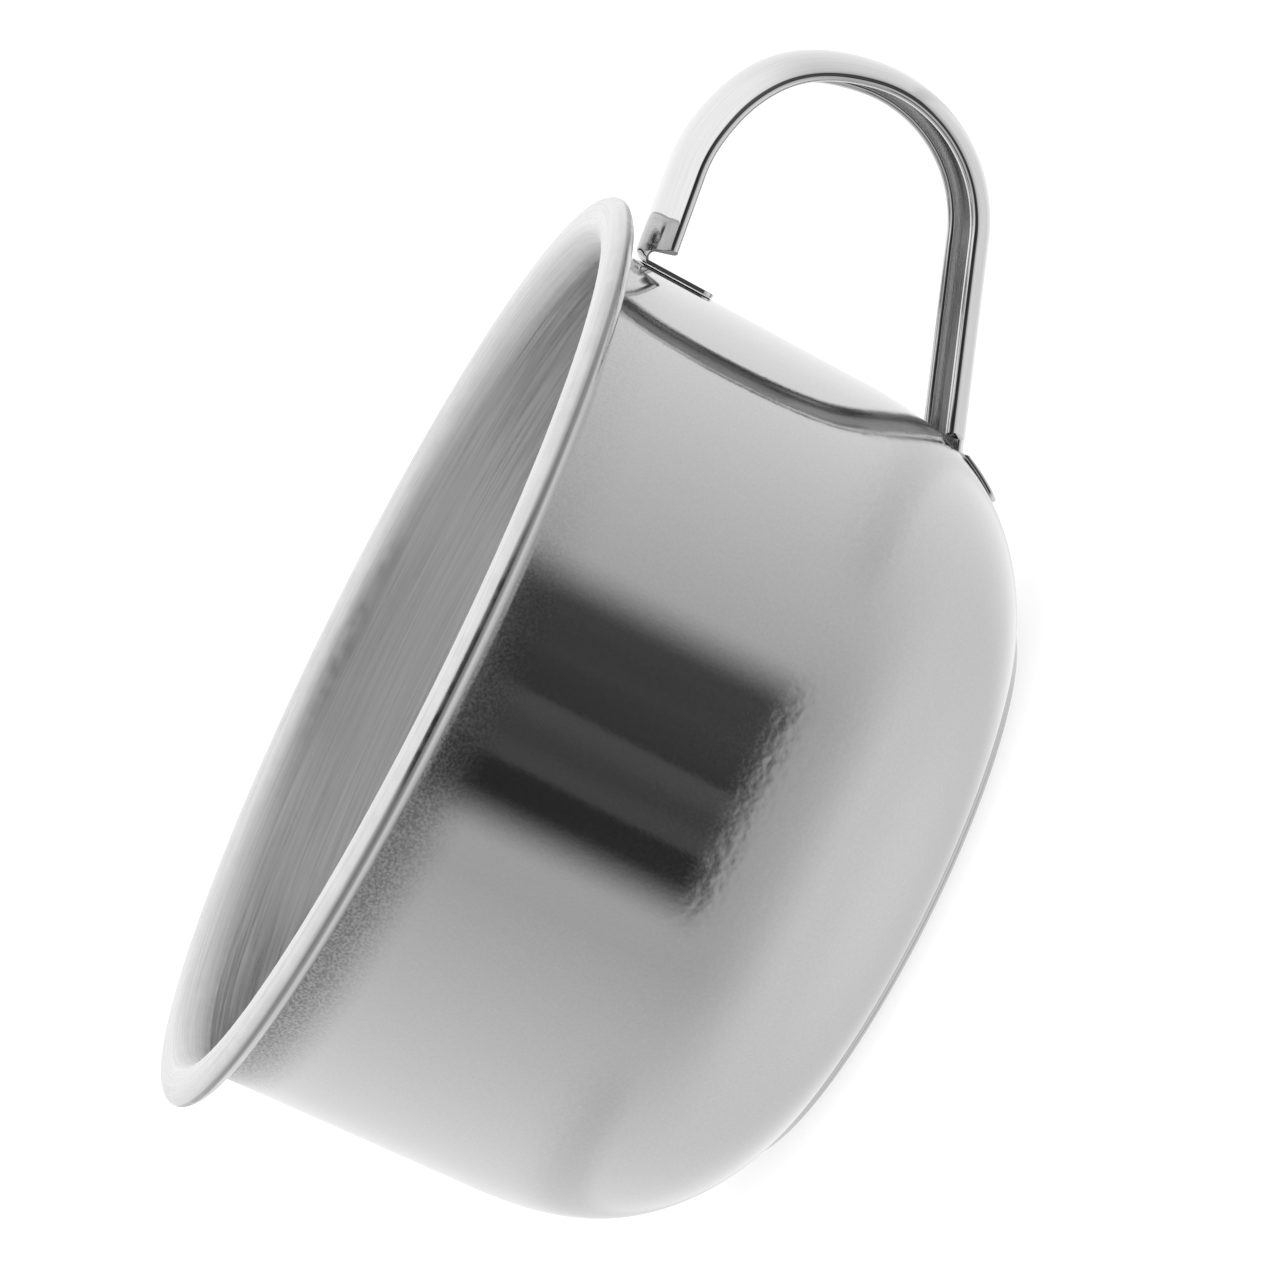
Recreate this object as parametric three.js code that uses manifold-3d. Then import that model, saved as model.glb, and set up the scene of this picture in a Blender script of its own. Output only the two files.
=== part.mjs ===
// Stainless steel shaving mug: a deep-drawn bowl with a rolled lip, and a stamped
// finger loop whose two end tabs are spot-welded to the bowl's side.
// Millimetres, +Z up. The origin is the centre of the foot, on the surface that the
// mug stands on, and the finger loop points along +X.
import * as THREE from 'three';
import { mergeVertices } from 'three/addons/utils/BufferGeometryUtils.js';
import Module from 'manifold-3d';

const wasm = await Module();
wasm.setup();

// ---- Bowl ----
const HEIGHT = 55.4;              // foot to the crest of the lip
const WALL_TOP_RADIUS = 45.45;    // outside of the wall, just under the lip
const WALL_TAPER = 0.026;         // millimetres inwards for each millimetre down the wall
const BOWL_SHEET = 0.8;
const SHOULDER_REACH = 17.0;      // how far the rounded shoulder runs in from the wall
const SHOULDER_HEIGHT = 20.8;     // how far it runs up from the foot
const SHOULDER_POWER = 1.82;      // 2 is a true ellipse, less is a straighter slope
const FOOT_RADIUS = 30.5;
const FOOT_STEP = 0.7;
const FOOT_EDGE = 0.35;
const LIP_WIDTH = 5.0;
const LIP_HEIGHT = 2.8;
const LIP_OVERHANG = 4.55;        // how far the lip stands out from the wall
const LIP_FLARE = 3.6;            // height over which the wall turns out into the lip
const LIP_START_ANGLE = 80;       // degrees round the curl at which it leaves the flare
const LIP_END_ANGLE = -130;       // and at which the sheet ends
const FOOT_START_ANGLE = -76;     // degrees round the shoulder at which the foot's step begins

// ---- Finger loop ----
const LOOP_REACH = 28.4;          // outermost point of the loop, from the wall
const UPPER_LEG_DROP = 5.3;       // crown of the upper leg at the wall, below the lip's crest
const LOWER_LEG_HEIGHT = 12.7;    // crown of the lower leg at the wall, above the foot
const UPPER_LEG_TILT = 7.0;       // degrees that each leg rises from the wall outwards
const LOWER_LEG_TILT = 20.3;
const STRAP_WIDTH = 9.7;          // across the crown, between the tops of the rolled edges
const CROWN_DEPTH = 2.4;          // how far the crown bulges outwards
const HANDLE_SHEET = 0.6;
const EDGE_RADIUS = 0.65;         // each long edge of the strap is rolled inwards to this
const EDGE_ROLL_START = -70;      // degrees round the rolled edge, from the crown's own slope there
const EDGE_ROLL_END = 130;
const UNDERSIDE_SETBACK = 10;     // degrees short of the crown's edge at which its underside ends

// ---- Where the loop meets the bowl ----
const WELD_GAP = 0.3;             // clearance between the tabs and the bowl
const TAB_WIDTH = 6.0;
const UPPER_TAB_LENGTH = 8.6;
const LOWER_TAB_LENGTH = 5.8;
const TAB_END_RADIUS = 2.2;
const TAB_START_ANGLE = -80;      // degrees round the shoulder down to which a tab can lie on it
const UPPER_EDGE_CUT = 1.9;       // the rolled edges stop this far from the wall
const LOWER_EDGE_CUT = 2.0;
const UPPER_LEG_RUN_IN = 2.0;     // how far each leg runs on past the wall, to be cut to its shape
const LOWER_LEG_RUN_IN = 6.0;

// ---- How finely round shapes are divided ----
const BOWL_SEGMENTS = 64;
const SHOULDER_STEPS = { inside: 11, outside: 10, tab: 16 };
const LIP_STEPS = { flare: 5, outside: 11, inside: 6 };
const STRAP_STEPS = 44;
const LOOP_ROUND_STEPS = 28;
const SECTION_STEPS = { crown: 12, edge: 7, underside: 8 };
const TAB_CORNER_STEPS = 5;

const radians = THREE.MathUtils.degToRad;
const shoulderTopRadius = WALL_TOP_RADIUS - WALL_TAPER * (HEIGHT - LIP_FLARE - SHOULDER_HEIGHT);
const shoulderCentreX = shoulderTopRadius - SHOULDER_REACH;
const lipCentre = new THREE.Vector2(
  WALL_TOP_RADIUS + LIP_OVERHANG - LIP_WIDTH / 2,
  HEIGHT - LIP_HEIGHT / 2,
);
const upperLegZ = HEIGHT - UPPER_LEG_DROP;

// Points along part of an ellipse, from one angle to another in degrees.
function ellipseArc(centre, semiX, semiY, from, to, steps, power = 2) {
  return Array.from({ length: steps + 1 }, (_, step) => {
    const angle = radians(from + (to - from) * step / steps);
    const bend = (value) => Math.sign(value) * Math.abs(value) ** (2 / power);
    return new THREE.Vector2(
      centre.x + semiX * bend(Math.cos(angle)),
      centre.y + semiY * bend(Math.sin(angle)),
    );
  });
}

// The bowl's shoulder at a distance outwards from its outer surface, foot end first.
function shoulder(offset, fromAngle, steps) {
  const centre = new THREE.Vector2(shoulderCentreX, SHOULDER_HEIGHT);
  return ellipseArc(
    centre, SHOULDER_REACH + offset, SHOULDER_HEIGHT + offset, fromAngle, 0, steps, SHOULDER_POWER,
  );
}

// Turns a closed or axis-to-axis profile of (radius, height) points round the Z axis.
function turned(points, segments) {
  return new THREE.LatheGeometry(points, segments).rotateX(Math.PI / 2);
}

// A manifold solid from a closed three.js geometry.
function toSolid(source) {
  const bare = source.clone();
  bare.deleteAttribute('normal');
  bare.deleteAttribute('uv');
  const merged = mergeVertices(bare, 1e-4);
  const index = merged.index.array;
  const corners = [];
  for (let i = 0; i < index.length; i += 3) {
    const [a, b, c] = index.slice(i, i + 3);
    if (a !== b && b !== c && c !== a) corners.push(a, b, c);
  }
  return new wasm.Manifold(new wasm.Mesh({
    numProp: 3,
    vertProperties: Float32Array.from(merged.attributes.position.array),
    triVerts: Uint32Array.from(corners),
  }));
}

function toGeometry(solid) {
  const mesh = solid.getMesh();
  const geometry = new THREE.BufferGeometry();
  geometry.setAttribute('position', new THREE.BufferAttribute(mesh.vertProperties, 3));
  geometry.setIndex(new THREE.BufferAttribute(mesh.triVerts, 1));
  geometry.computeVertexNormals();
  return geometry;
}

// ---- The bowl: one sheet, from the floor up the inside, over the lip's curl, and down the outside ----
function bowlGeometry() {
  const flareCentre = new THREE.Vector2(lipCentre.x, HEIGHT - LIP_FLARE);
  const flareOuterX = lipCentre.x - WALL_TOP_RADIUS;
  const inside = [
    new THREE.Vector2(0, BOWL_SHEET),
    ...shoulder(-BOWL_SHEET, -90, SHOULDER_STEPS.inside),
    ...ellipseArc(flareCentre, flareOuterX + BOWL_SHEET, LIP_FLARE, 180, 90, LIP_STEPS.flare),
  ];
  const curl = [
    ...ellipseArc(
      lipCentre, LIP_WIDTH / 2, LIP_HEIGHT / 2,
      LIP_START_ANGLE, LIP_END_ANGLE, LIP_STEPS.outside,
    ),
    ...ellipseArc(
      lipCentre, LIP_WIDTH / 2 - BOWL_SHEET, LIP_HEIGHT / 2 - BOWL_SHEET,
      LIP_END_ANGLE, LIP_START_ANGLE, LIP_STEPS.inside,
    ),
  ];
  const outside = [
    ...ellipseArc(flareCentre, flareOuterX, LIP_FLARE - BOWL_SHEET, 90, 180, LIP_STEPS.flare),
    ...shoulder(0, FOOT_START_ANGLE, SHOULDER_STEPS.outside).reverse(),
    new THREE.Vector2(FOOT_RADIUS, FOOT_STEP),
    new THREE.Vector2(FOOT_RADIUS, FOOT_EDGE),
    new THREE.Vector2(FOOT_RADIUS - FOOT_EDGE, 0),
    new THREE.Vector2(0, 0),
  ];
  const profile = [...inside, ...curl, ...outside].reverse();
  return turned(profile, BOWL_SEGMENTS);
}

// The bowl's outer side, moved outwards, from near the foot up to just under the lip.
function sideLine(offset) {
  return [
    ...shoulder(offset, TAB_START_ANGLE, SHOULDER_STEPS.tab),
    new THREE.Vector2(WALL_TOP_RADIUS + offset, HEIGHT - LIP_FLARE),
  ];
}

// ---- The strap's cross-section: a bulged crown with both long edges rolled inwards ----
// x runs across the strap, and y runs from the crown towards the inside of the loop.
function strapSection() {
  const half = STRAP_WIDTH / 2;
  const crownRadius = (half * half + CROWN_DEPTH * CROWN_DEPTH) / (2 * CROWN_DEPTH);
  const crownCentre = new THREE.Vector2(0, crownRadius);
  const crownAngle = THREE.MathUtils.radToDeg(Math.asin(half / crownRadius));
  const edgeOut = crownRadius - EDGE_RADIUS;
  const edgeX = edgeOut * Math.sin(radians(crownAngle));
  const edgeY = crownRadius - edgeOut * Math.cos(radians(crownAngle));
  const crown = ellipseArc(
    crownCentre, crownRadius, crownRadius, -90 - crownAngle, -90 + crownAngle, SECTION_STEPS.crown,
  );
  const rightEdge = ellipseArc(
    new THREE.Vector2(edgeX, edgeY), EDGE_RADIUS, EDGE_RADIUS,
    crownAngle + EDGE_ROLL_START, crownAngle + EDGE_ROLL_END, SECTION_STEPS.edge,
  );
  const underRadius = crownRadius - HANDLE_SHEET;
  const underAngle = crownAngle - UNDERSIDE_SETBACK;
  const under = ellipseArc(
    crownCentre, underRadius, underRadius,
    -90 + underAngle, -90 - underAngle, SECTION_STEPS.underside,
  );
  const leftEdge = rightEdge.map((point) => new THREE.Vector2(-point.x, point.y)).reverse();
  return new THREE.Shape([...crown, ...rightEdge, ...under, ...leftEdge]);
}

// ---- The loop's path: a leg, a round end tangent to both legs, and a leg back ----
function loopPath() {
  const upperSlope = Math.tan(radians(UPPER_LEG_TILT));
  const lowerSlope = Math.tan(radians(LOWER_LEG_TILT));
  const narrowing = upperSlope - lowerSlope;
  const secants = 1 / Math.cos(radians(UPPER_LEG_TILT)) + 1 / Math.cos(radians(LOWER_LEG_TILT));
  const radius = (upperLegZ - LOWER_LEG_HEIGHT + LOOP_REACH * narrowing) / (secants + narrowing);
  const centreX = WALL_TOP_RADIUS + LOOP_REACH - radius;
  const centreZ = upperLegZ + (centreX - WALL_TOP_RADIUS) * upperSlope
    - radius / Math.cos(radians(UPPER_LEG_TILT));
  const at = (degrees) => new THREE.Vector3(
    centreX + radius * Math.cos(radians(degrees)), 0, centreZ + radius * Math.sin(radians(degrees)),
  );
  const upperTangent = 90 + UPPER_LEG_TILT;
  const lowerTangent = -90 + LOWER_LEG_TILT;
  const upperEnd = new THREE.Vector3(
    WALL_TOP_RADIUS - UPPER_LEG_RUN_IN, 0, upperLegZ - UPPER_LEG_RUN_IN * upperSlope,
  );
  const lowerEnd = new THREE.Vector3(
    WALL_TOP_RADIUS - LOWER_LEG_RUN_IN, 0, LOWER_LEG_HEIGHT - LOWER_LEG_RUN_IN * lowerSlope,
  );
  const round = Array.from({ length: LOOP_ROUND_STEPS + 1 }, (_, step) => (
    at(upperTangent + (lowerTangent - upperTangent) * step / LOOP_ROUND_STEPS)
  ));
  const path = new THREE.CurvePath();
  const stops = [upperEnd, ...round, lowerEnd];
  stops.slice(1).forEach((stop, i) => path.add(new THREE.LineCurve3(stops[i], stop)));
  return path;
}

// A block centred on y = 0, given by its limits along x and z.
function block(lowX, highX, width, lowZ, highZ) {
  const box = new THREE.BoxGeometry(highX - lowX, width, highZ - lowZ);
  return toSolid(box.translate((lowX + highX) / 2, 0, (lowZ + highZ) / 2));
}

// The outline of a tab seen from outside, square at the top and rounded at the bottom,
// as a prism that runs out along +X.
function tabPrism(topZ, length) {
  const half = TAB_WIDTH / 2;
  const bottomZ = topZ - length;
  const outline = new THREE.Shape();
  outline.moveTo(-half, topZ);
  outline.lineTo(-half, bottomZ + TAB_END_RADIUS);
  outline.quadraticCurveTo(-half, bottomZ, -half + TAB_END_RADIUS, bottomZ);
  outline.lineTo(half - TAB_END_RADIUS, bottomZ);
  outline.quadraticCurveTo(half, bottomZ, half, bottomZ + TAB_END_RADIUS);
  outline.lineTo(half, topZ);
  const depth = WALL_TOP_RADIUS + LOOP_REACH;
  const prism = new THREE.ExtrudeGeometry(outline, {
    depth, bevelEnabled: false, curveSegments: TAB_CORNER_STEPS,
  });
  const across = new THREE.Vector3(0, 1, 0);
  const up = new THREE.Vector3(0, 0, 1);
  const outwards = new THREE.Vector3(1, 0, 0);
  return toSolid(prism.applyMatrix4(new THREE.Matrix4().makeBasis(across, up, outwards)));
}

// ---- The finger loop: strap, and two tabs that hug the bowl's side ----
function handleGeometry() {
  const strap = toSolid(new THREE.ExtrudeGeometry(strapSection(), {
    steps: STRAP_STEPS, bevelEnabled: false, extrudePath: loopPath(),
  }));
  const middleZ = (upperLegZ + LOWER_LEG_HEIGHT) / 2;
  const edges = (cut, lowZ, highZ) => block(0, WALL_TOP_RADIUS + cut, STRAP_WIDTH * 2, lowZ, highZ)
    .subtract(block(0, WALL_TOP_RADIUS + cut, TAB_WIDTH, lowZ, highZ));
  const trimmed = strap
    .subtract(edges(UPPER_EDGE_CUT, middleZ, HEIGHT))
    .subtract(edges(LOWER_EDGE_CUT, 0, middleZ));
  const innerFace = sideLine(WELD_GAP);
  const outerFace = sideLine(WELD_GAP + HANDLE_SHEET);
  const skin = toSolid(turned(
    [...outerFace, ...innerFace.reverse(), outerFace[0]], BOWL_SEGMENTS,
  ));
  const tabs = tabPrism(upperLegZ, UPPER_TAB_LENGTH)
    .add(tabPrism(LOWER_LEG_HEIGHT, LOWER_TAB_LENGTH))
    .intersect(skin);
  const side = sideLine(WELD_GAP);
  const clearOfBowl = toSolid(turned([
    new THREE.Vector2(0, side[0].y),
    ...side,
    new THREE.Vector2(side.at(-1).x, HEIGHT),
    new THREE.Vector2(0, HEIGHT),
  ], BOWL_SEGMENTS));
  return toGeometry(trimmed.add(tabs).subtract(clearOfBowl));
}

function piece(name, geometry, material) {
  const mesh = new THREE.Mesh(geometry, material);
  mesh.name = name;
  return mesh;
}

const satinSteel = new THREE.MeshStandardMaterial({ color: 0xc6c7c8, roughness: 0.3, metalness: 1 });
const polishedSteel = new THREE.MeshStandardMaterial({ color: 0xd6d7d8, roughness: 0.08, metalness: 1 });

const mug = new THREE.Group();
mug.add(piece('bowl', bowlGeometry(), satinSteel));
mug.add(piece('finger_loop', handleGeometry(), polishedSteel));

export default mug;
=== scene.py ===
import math
from collections import namedtuple

import bmesh
import bpy
from bpy.props import FloatProperty, FloatVectorProperty, IntProperty, PointerProperty
from mathutils import Matrix, Vector


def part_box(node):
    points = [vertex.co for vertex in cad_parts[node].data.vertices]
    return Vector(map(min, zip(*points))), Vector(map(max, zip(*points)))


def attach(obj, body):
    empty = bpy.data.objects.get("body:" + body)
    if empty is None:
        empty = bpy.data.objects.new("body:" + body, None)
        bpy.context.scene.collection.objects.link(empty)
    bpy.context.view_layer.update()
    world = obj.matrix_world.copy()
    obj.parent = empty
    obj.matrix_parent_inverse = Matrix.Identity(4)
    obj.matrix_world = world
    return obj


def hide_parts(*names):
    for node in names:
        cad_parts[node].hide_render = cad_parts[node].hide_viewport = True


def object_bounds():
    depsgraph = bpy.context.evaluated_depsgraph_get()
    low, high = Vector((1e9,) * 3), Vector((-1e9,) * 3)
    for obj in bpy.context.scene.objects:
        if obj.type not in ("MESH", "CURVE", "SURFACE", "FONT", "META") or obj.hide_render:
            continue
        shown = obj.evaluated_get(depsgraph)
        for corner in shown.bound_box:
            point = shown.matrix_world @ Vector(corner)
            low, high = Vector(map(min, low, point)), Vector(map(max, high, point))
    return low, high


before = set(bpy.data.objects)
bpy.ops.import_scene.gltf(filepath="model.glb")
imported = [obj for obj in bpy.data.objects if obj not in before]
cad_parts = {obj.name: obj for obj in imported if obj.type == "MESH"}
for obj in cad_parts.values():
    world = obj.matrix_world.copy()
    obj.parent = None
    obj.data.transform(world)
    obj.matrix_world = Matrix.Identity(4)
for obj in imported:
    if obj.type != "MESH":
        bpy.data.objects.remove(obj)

bl_info = {
    "name": "Steel Shaving Mug",
    "version": (1, 0, 0),
    "blender": (4, 5, 0),
    "location": "View3D > Sidebar > Shaving Mug",
    "description": "Builds a deep-drawn steel shaving mug with a welded finger loop",
    "category": "Add Mesh",
}

MM = 0.001
MICRON = 0.001 * MM
_, BOWL_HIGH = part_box("bowl")
_, LOOP_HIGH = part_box("finger_loop")
CAD_LOW, CAD_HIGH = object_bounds()
FLOOR_GAP = 0.05 * MM  # the floor lies this far under the mug
SHARP_EDGE = math.radians(35)  # edges that turn more than this aren't smoothed
BODY = "root"


# ---- Properties -------------------------------------------------------------------------------

def length(name, description, metres):
    return FloatProperty(
        name=name, description=description, default=metres, unit="LENGTH", precision=5
    )


def angle(name, description, degrees):
    return FloatProperty(
        name=name, description=description, default=math.radians(degrees), subtype="ANGLE"
    )


def factor(name, description, default, highest=1.0):
    return FloatProperty(
        name=name, description=description, default=default, min=0.0, max=highest, subtype="FACTOR"
    )


def colour(name, description, grey):
    return FloatVectorProperty(
        name=name, description=description, default=(grey, grey, grey),
        min=0.0, max=1.0, size=3, subtype="COLOR",
    )


class BowlSizes(bpy.types.PropertyGroup):
    height: length("Height", "Foot to the crest of the lip", BOWL_HIGH.z)
    lip_radius: length("Lip Radius", "Axis to the outermost point of the lip", BOWL_HIGH.x)
    wall_radius: length("Wall Radius", "Outside of the wall, just under the lip", 45.45 * MM)
    wall_taper: FloatProperty(
        name="Wall Taper", description="Lean of the wall, inwards for each unit down", default=0.026
    )
    sheet: length("Sheet", "Thickness of the bowl's steel", 0.8 * MM)
    shoulder_reach: length("Shoulder Reach", "How far the shoulder runs in from the wall", 15.6 * MM)
    shoulder_height: length("Shoulder Height", "Where the shoulder begins, above the foot", 26 * MM)
    shoulder_start: FloatProperty(
        name="Shoulder Start", description="Power of the curve at the wall; more is slower", default=3.0
    )
    shoulder_end: FloatProperty(
        name="Shoulder End", description="Power of the curve at the foot; 2 is an ellipse", default=1.39
    )
    foot_radius: length("Foot Radius", "Edge of the flat foot", 30.5 * MM)
    foot_step: length("Foot Step", "Height of the foot below the shoulder", 0.7 * MM)
    foot_edge: length("Foot Edge", "Rounding of the foot's edge", 0.35 * MM)
    lip_width: length("Lip Width", "Across the rolled lip", 5.0 * MM)
    lip_depth: length("Lip Depth", "Height of the rolled lip", 2.8 * MM)
    lip_flare: length("Lip Flare", "Height over which the wall turns out into the lip", 3.6 * MM)
    lip_end: angle("Lip End", "Angle round the curl at which the sheet ends", -130)
    segments: IntProperty(name="Segments", description="Divisions round the bowl", default=288, min=32)


class LoopSizes(bpy.types.PropertyGroup):
    reach: length("Reach", "Axis to the outermost point of the loop", LOOP_HIGH.x)
    upper_drop: length("Upper Drop", "Crown of the upper leg at the wall, below the lip", 5.3 * MM)
    lower_height: length("Lower Height", "Crown of the lower leg at the wall, above the foot", 12.7 * MM)
    upper_tilt: angle("Upper Tilt", "Rise of the upper leg, outwards", 7.0)
    lower_tilt: angle("Lower Tilt", "Rise of the lower leg, outwards", 20.3)
    width: length("Strap Width", "Across the crown, between the tops of the rolled edges", 9.7 * MM)
    crown: length("Crown Depth", "How far the crown bulges outwards", 2.4 * MM)
    sheet: length("Sheet", "Thickness of the loop's steel", 0.45 * MM)
    edge_radius: length("Edge Radius", "Outer radius of the rolled edges", 0.65 * MM)
    edge_roll: angle("Edge Roll", "How far round each edge is rolled", 225)
    tab_width: length("Tab Width", "Across the flat ends", 6.4 * MM)
    upper_tab: length("Upper Tab", "Length of the upper tab down the wall", 8.6 * MM)
    lower_tab: length("Lower Tab", "Length of the lower tab down the shoulder", 5.8 * MM)
    tab_corner: length("Tab Corner", "Rounding of the tabs' tips", 1.2 * MM)
    upper_cut: length("Upper Cut", "Gap between the upper rolled edges and the wall", 1.9 * MM)
    lower_cut: length("Lower Cut", "Gap between the lower rolled edges and the wall", 2.0 * MM)
    cut_slant: length("Cut Slant", "How much nearer the wall the cut is beside the tab", 0.7 * MM)
    upper_bend: length("Upper Bend", "Radius of the bend into the upper tab, outside", 1.4 * MM)
    lower_bend: length("Lower Bend", "Radius of the bend into the lower tab, inside", 0.5 * MM)
    weld_gap: length("Weld Gap", "Between the tabs and the bowl", 0.02 * MM)
    dent: length("Dent", "Depth of the dents beside the upper cut", 0.8 * MM)
    dent_length: length("Dent Length", "From the upper cut to the dents' far ends", 2.7 * MM)
    shallower: factor("Shallower", "How much the bend round the end flattens the crown", 0.18)
    twist: angle("Twist", "Turn of the section round the strap's line, past the end", 5.0)
    bulge: length("Bulge", "How far the round end stands out above its middle", 0.5 * MM)


class SteelFinish(bpy.types.PropertyGroup):
    outside_colour: colour("Outside Colour", "Steel on the bowl's outside", 0.80)
    inside_colour: colour("Inside Colour", "Steel on the bowl's inside", 0.95)
    lip_colour: colour("Lip Colour", "Steel of the rolled lip", 0.88)
    loop_colour: colour("Loop Colour", "Steel of the finger loop", 0.92)
    # the underside's colour is darkened to paint the shade on the loop's underside
    under_painted_shade_colour: colour("Under Colour", "Steel on the loop's underside", 0.34)
    outside_roughness: factor("Outside Roughness", "Blur of the wall's reflections", 0.06)
    inside_roughness: factor("Inside Roughness", "Blur of the inside's reflections", 0.34)
    lip_roughness: factor("Lip Roughness", "Blur of the lip's reflections", 0.24)
    loop_roughness: factor("Loop Roughness", "Blur of the loop's reflections", 0.05)
    under_roughness: factor("Under Roughness", "Blur of the underside's reflections", 0.25)
    # the band under the lip is painted shade under the lip's overhang, broken up by the steel's grain
    under_lip_shade_depth: length("Scuff Depth", "How far down the wall the scuffed band reaches", 6 * MM)
    peel: FloatProperty(
        name="Orange Peel", description="Height of its lumps, in thousandths of a mm", default=12
    )
    peel_low: length("Peel Low", "Lower edge of the orange-peeled belt", 12 * MM)
    peel_high: length("Peel High", "Upper edge of the orange-peeled belt", 27 * MM)


class StageSetup(bpy.types.PropertyGroup):
    floor_radius: length("Floor Radius", "Round floor under the mug", 6.0)
    floor_colour: colour("Floor Colour", "Pale floor", 0.8)
    floor_glow: factor("Floor Glow", "Light that the floor gives off itself", 0.6)
    camera_turn: angle("Camera Turn", "Camera's place, round from the front towards the loop", 3.7)
    camera_rise: angle("Camera Rise", "Camera's height above the level", 9.78)
    camera_roll: angle("Camera Roll", "How far the camera is rolled, so that the mug lies over", 63.63)
    camera_distance: length("Camera Distance", "From the bowl's axis, at the orbit height", 0.6)
    orbit_height: length("Orbit Height", "Point that the camera's place is measured from", 0.03)
    aim_x: length("Aim X", "Point that the camera looks at, towards the loop", 0.01204)
    aim_z: length("Aim Z", "Point that the camera looks at, above the floor", 0.03321)
    lens: FloatProperty(name="Lens", description="Focal length in millimetres", default=170.87)


# ---- Mesh helpers -----------------------------------------------------------------------------

def spread(first, last, steps):
    """Evenly spread numbers from first to last, both included."""
    return [first + (last - first) * i / steps for i in range(steps + 1)]


def smooth(value, low, high):
    """0 below low, 1 above high, and a smooth rise between."""
    t = min(max((value - low) / (high - low), 0.0), 1.0)
    return t * t * (3 - 2 * t)


def ellipse(centre, semi_x, semi_y, start, end, steps):
    """Points along an ellipse, from one angle to another in radians."""
    return [
        Vector((centre[0] + semi_x * math.cos(a), centre[1] + semi_y * math.sin(a)))
        for a in spread(start, end, steps)
    ]


def finished(name, mesh_data, materials, replaced):
    """Makes an object of a bmesh, smooth but for its sharp edges, that stands for a CAD node."""
    mesh = bpy.data.meshes.new(name)
    bmesh.ops.recalc_face_normals(mesh_data, faces=mesh_data.faces)
    mesh_data.to_mesh(mesh)
    mesh_data.free()
    mesh.shade_smooth()
    mesh.set_sharp_from_angle(angle=SHARP_EDGE)
    for material in materials:
        mesh.materials.append(material)
    piece = bpy.data.objects.new(name, mesh)
    bpy.context.scene.collection.objects.link(piece)
    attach(piece, BODY)
    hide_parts(replaced)
    return piece


# ---- Bowl -------------------------------------------------------------------------------------

WALL_STEPS = 20
SHOULDER_STEPS = 44
FLARE_INSIDE_STEPS = 16
FLARE_OUTSIDE_STEPS = 14
CURL_OUTSIDE_STEPS = 48
CURL_INSIDE_STEPS = 32
SHEET_EDGE_STEPS = 6
FOOT_HOLLOW_STEPS = 6
FOOT_EDGE_STEPS = 8
FLOOR_RINGS = (0.0, 0.5, 0.8, 0.96)  # rings inside the bowl, as shares of where its floor ends
FOOT_RINGS = (0.9, 0.5, 0.0)         # rings under the foot, as shares of its radius
CURL_START = math.radians(80)        # where the flare passes into the curl, up from the level
SIDE_INSIDE_END = 1.5                # height outside, in sheets, down to which the side has an inside
SIDE_OUTSIDE_END = 1.3               # how near the foot the side's outside comes, in hollows
SLOPE_STEP = 0.01 * MM               # over which the side's slope is measured


def side_at(size, height):
    """Radius of the bowl's outer side at a height."""
    wall = size.wall_radius - size.wall_taper * (size.height - size.lip_flare - height)
    share = min(max((size.shoulder_height - height) / size.shoulder_height, 0.0), 1.0)
    fall = 1 - (1 - share ** size.shoulder_start) ** (1 / size.shoulder_end)
    return wall - size.shoulder_reach * fall


def side_normal(size, height):
    """Outward direction of the bowl's outer side at a height, as (radius, height)."""
    rise = side_at(size, height + SLOPE_STEP) - side_at(size, height - SLOPE_STEP)
    slope = rise / (2 * SLOPE_STEP)
    return Vector((1, -slope)).normalized()


def shoulder_heights(size, lowest, steps):
    """Heights from the shoulder's top down to lowest, closer together where it turns faster."""
    share = (size.shoulder_height - lowest) / size.shoulder_height
    last = math.asin(share ** (size.shoulder_start / 2))
    return [
        size.shoulder_height * (1 - math.sin(a) ** (2 / size.shoulder_start))
        for a in spread(0.0, last, steps)
    ]


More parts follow.
